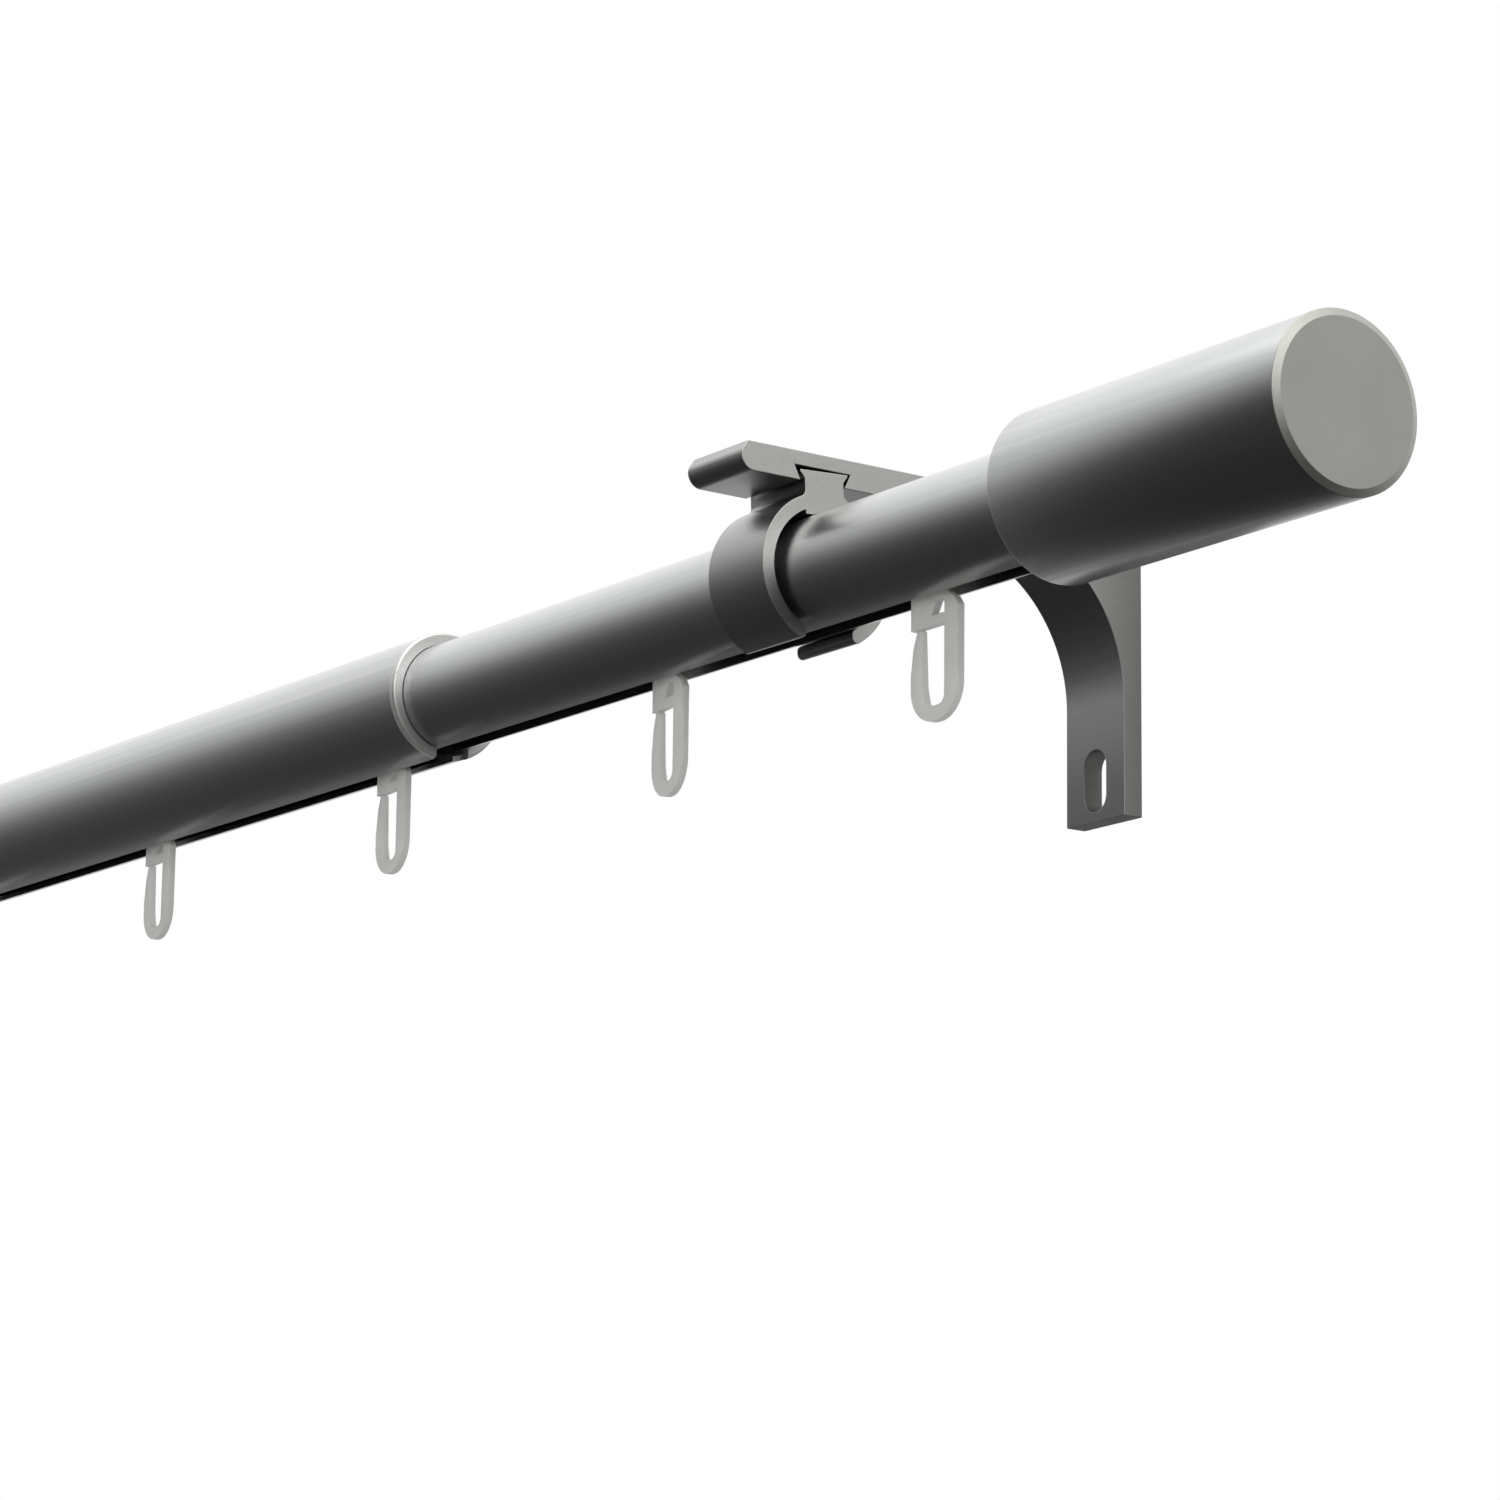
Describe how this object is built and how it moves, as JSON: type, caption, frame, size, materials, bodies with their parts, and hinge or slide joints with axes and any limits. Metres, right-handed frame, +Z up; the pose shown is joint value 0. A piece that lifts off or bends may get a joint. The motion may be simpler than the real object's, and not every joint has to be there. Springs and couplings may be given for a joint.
{
  "type": "curtain rod",
  "caption": "Telescopic curtain rod with an inner track, cylindrical finials, wall brackets with open rings, and snap-hook gliders.",
  "frame": {"origin": "wall face of the right bracket, at the middle of its width and at the height of the rod's axis", "axes": "+X along the rod towards the right finial, +Y into the wall, +Z up"},
  "size_m": [0.9017, 0.0853, 0.0528],
  "materials": {
    "satin_aluminium": "satin, finely brushed along the tube",
    "bracket_aluminium": "satin extrusion with sawn side faces",
    "end_disc_plastic": "satin warm grey lacquer, with a slanted rim that catches the light",
    "collar_plastic": "translucent natural plastic",
    "glider_plastic": "translucent natural plastic",
    "adapter_plastic": "plain moulded, hidden"
  },
  "bodies": {
    "fixed_side": {"right_bracket": "bracket_aluminium", "left_bracket": "bracket_aluminium", "outer_tube": "satin_aluminium", "coupling_collar": "collar_plastic", "left_finial_sleeve": "satin_aluminium", "left_finial_disc": "end_disc_plastic", "left_finial_adapter": "adapter_plastic"},
    "sliding_side": {"inner_tube": "satin_aluminium", "right_finial_sleeve": "satin_aluminium", "right_finial_disc": "end_disc_plastic", "right_finial_adapter": "adapter_plastic"},
    "right_ring": {"right_ring": "bracket_aluminium"},
    "left_ring": {"left_ring": "bracket_aluminium"},
    "glider_01": {"glider_01": "glider_plastic"},
    "glider_02": {"glider_02": "glider_plastic"},
    "glider_03": {"glider_03": "glider_plastic"},
    "glider_04": {"glider_04": "glider_plastic"},
    "glider_05": {"glider_05": "glider_plastic"},
    "glider_06": {"glider_06": "glider_plastic"},
    "glider_07": {"glider_07": "glider_plastic"},
    "glider_08": {"glider_08": "glider_plastic"},
    "glider_09": {"glider_09": "glider_plastic"},
    "glider_10": {"glider_10": "glider_plastic"}
  },
  "joints": [
    {"name": "inner_tube_slide", "type": "slide", "parent": "fixed_side", "child": "sliding_side", "axis": [1, 0, 0], "range_m": [-0.054, 0.28]},
    {"name": "right_ring_slide", "type": "slide", "parent": "fixed_side", "child": "right_ring", "axis": [1, 0, 0], "range_m": [-0.005, 0.005]},
    {"name": "left_ring_slide", "type": "slide", "parent": "fixed_side", "child": "left_ring", "axis": [1, 0, 0], "range_m": [-0.005, 0.005]},
    {"name": "glider_01_slide", "type": "slide", "parent": "sliding_side", "child": "glider_01", "axis": [1, 0, 0], "range_m": [-0.031, 0.023]},
    {"name": "glider_02_slide", "type": "slide", "parent": "sliding_side", "child": "glider_02", "axis": [1, 0, 0], "range_m": [-0.038, 0.031]},
    {"name": "glider_03_slide", "type": "slide", "parent": "sliding_side", "child": "glider_03", "axis": [1, 0, 0], "range_m": [-0.038, 0.038]},
    {"name": "glider_04_slide", "type": "slide", "parent": "sliding_side", "child": "glider_04", "axis": [1, 0, 0], "range_m": [-0.035, 0.038]},
    {"name": "glider_05_slide", "type": "slide", "parent": "sliding_side", "child": "glider_05", "axis": [1, 0, 0], "range_m": [-0.031, 0.035]},
    {"name": "glider_06_slide", "type": "slide", "parent": "sliding_side", "child": "glider_06", "axis": [1, 0, 0], "range_m": [-0.026, 0.031]},
    {"name": "glider_07_slide", "type": "slide", "parent": "sliding_side", "child": "glider_07", "axis": [1, 0, 0], "range_m": [-0.027, 0.026]},
    {"name": "glider_08_slide", "type": "slide", "parent": "sliding_side", "child": "glider_08", "axis": [1, 0, 0], "range_m": [-0.015, 0.027]},
    {"name": "glider_09_slide", "type": "slide", "parent": "fixed_side", "child": "glider_09", "axis": [1, 0, 0], "range_m": [-0.018, 0.018]},
    {"name": "glider_10_slide", "type": "slide", "parent": "fixed_side", "child": "glider_10", "axis": [1, 0, 0], "range_m": [-0.018, 0.018]}
  ]
}
